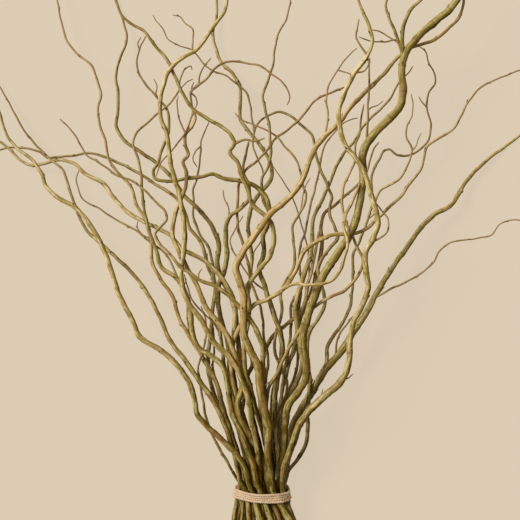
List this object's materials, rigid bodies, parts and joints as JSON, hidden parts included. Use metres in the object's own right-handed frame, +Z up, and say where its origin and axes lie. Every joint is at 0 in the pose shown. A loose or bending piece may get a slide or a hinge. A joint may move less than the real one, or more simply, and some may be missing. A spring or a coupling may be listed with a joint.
{
  "type": "willow stem bunch",
  "caption": "Bunch of leafless twisted willow stems with side shoots, tied with jute twine near the cut ends and lying flat, its tips fanned out.",
  "frame": {"origin": "middle of the bunch's footprint, on the surface it lies on", "axes": "+Y along the bunch from the cut ends to the tips, +Z up from the surface, +X to the right when seen from above with the tips away"},
  "size_m": [0.7462, 0.8144, 0.1234],
  "materials": {
    "bark_light_olive": "smooth young bark, satin",
    "bark_olive": "smooth young bark, satin",
    "bark_dark_olive": "smooth young bark, satin",
    "bark_tan": "smooth young bark, satin",
    "bark_brown": "smooth young bark, satin",
    "jute": "twisted fibre, matt"
  },
  "bodies": {
    "root": {"stem_01": "bark_light_olive", "stem_02": "bark_olive", "stem_03": "bark_dark_olive", "stem_04": "bark_light_olive", "stem_05": "bark_olive", "stem_06": "bark_tan", "stem_07": "bark_olive", "stem_08": "bark_tan", "stem_09": "bark_light_olive", "stem_10": "bark_dark_olive", "stem_11": "bark_olive", "stem_12": "bark_dark_olive", "stem_13": "bark_tan", "stem_14": "bark_dark_olive", "stem_15": "bark_olive", "stem_16": "bark_light_olive", "stem_17": "bark_dark_olive", "stem_18": "bark_tan", "stem_19": "bark_tan", "stem_20": "bark_tan", "stem_21": "bark_olive", "stem_22": "bark_tan", "stem_23": "bark_brown", "stem_24": "bark_dark_olive", "stem_25": "bark_olive", "stem_26": "bark_olive", "stem_27": "bark_dark_olive", "stem_28": "bark_tan", "stem_29": "bark_brown", "stem_30": "bark_brown", "stem_31": "bark_olive", "twine": "jute"}
  },
  "joints": []
}
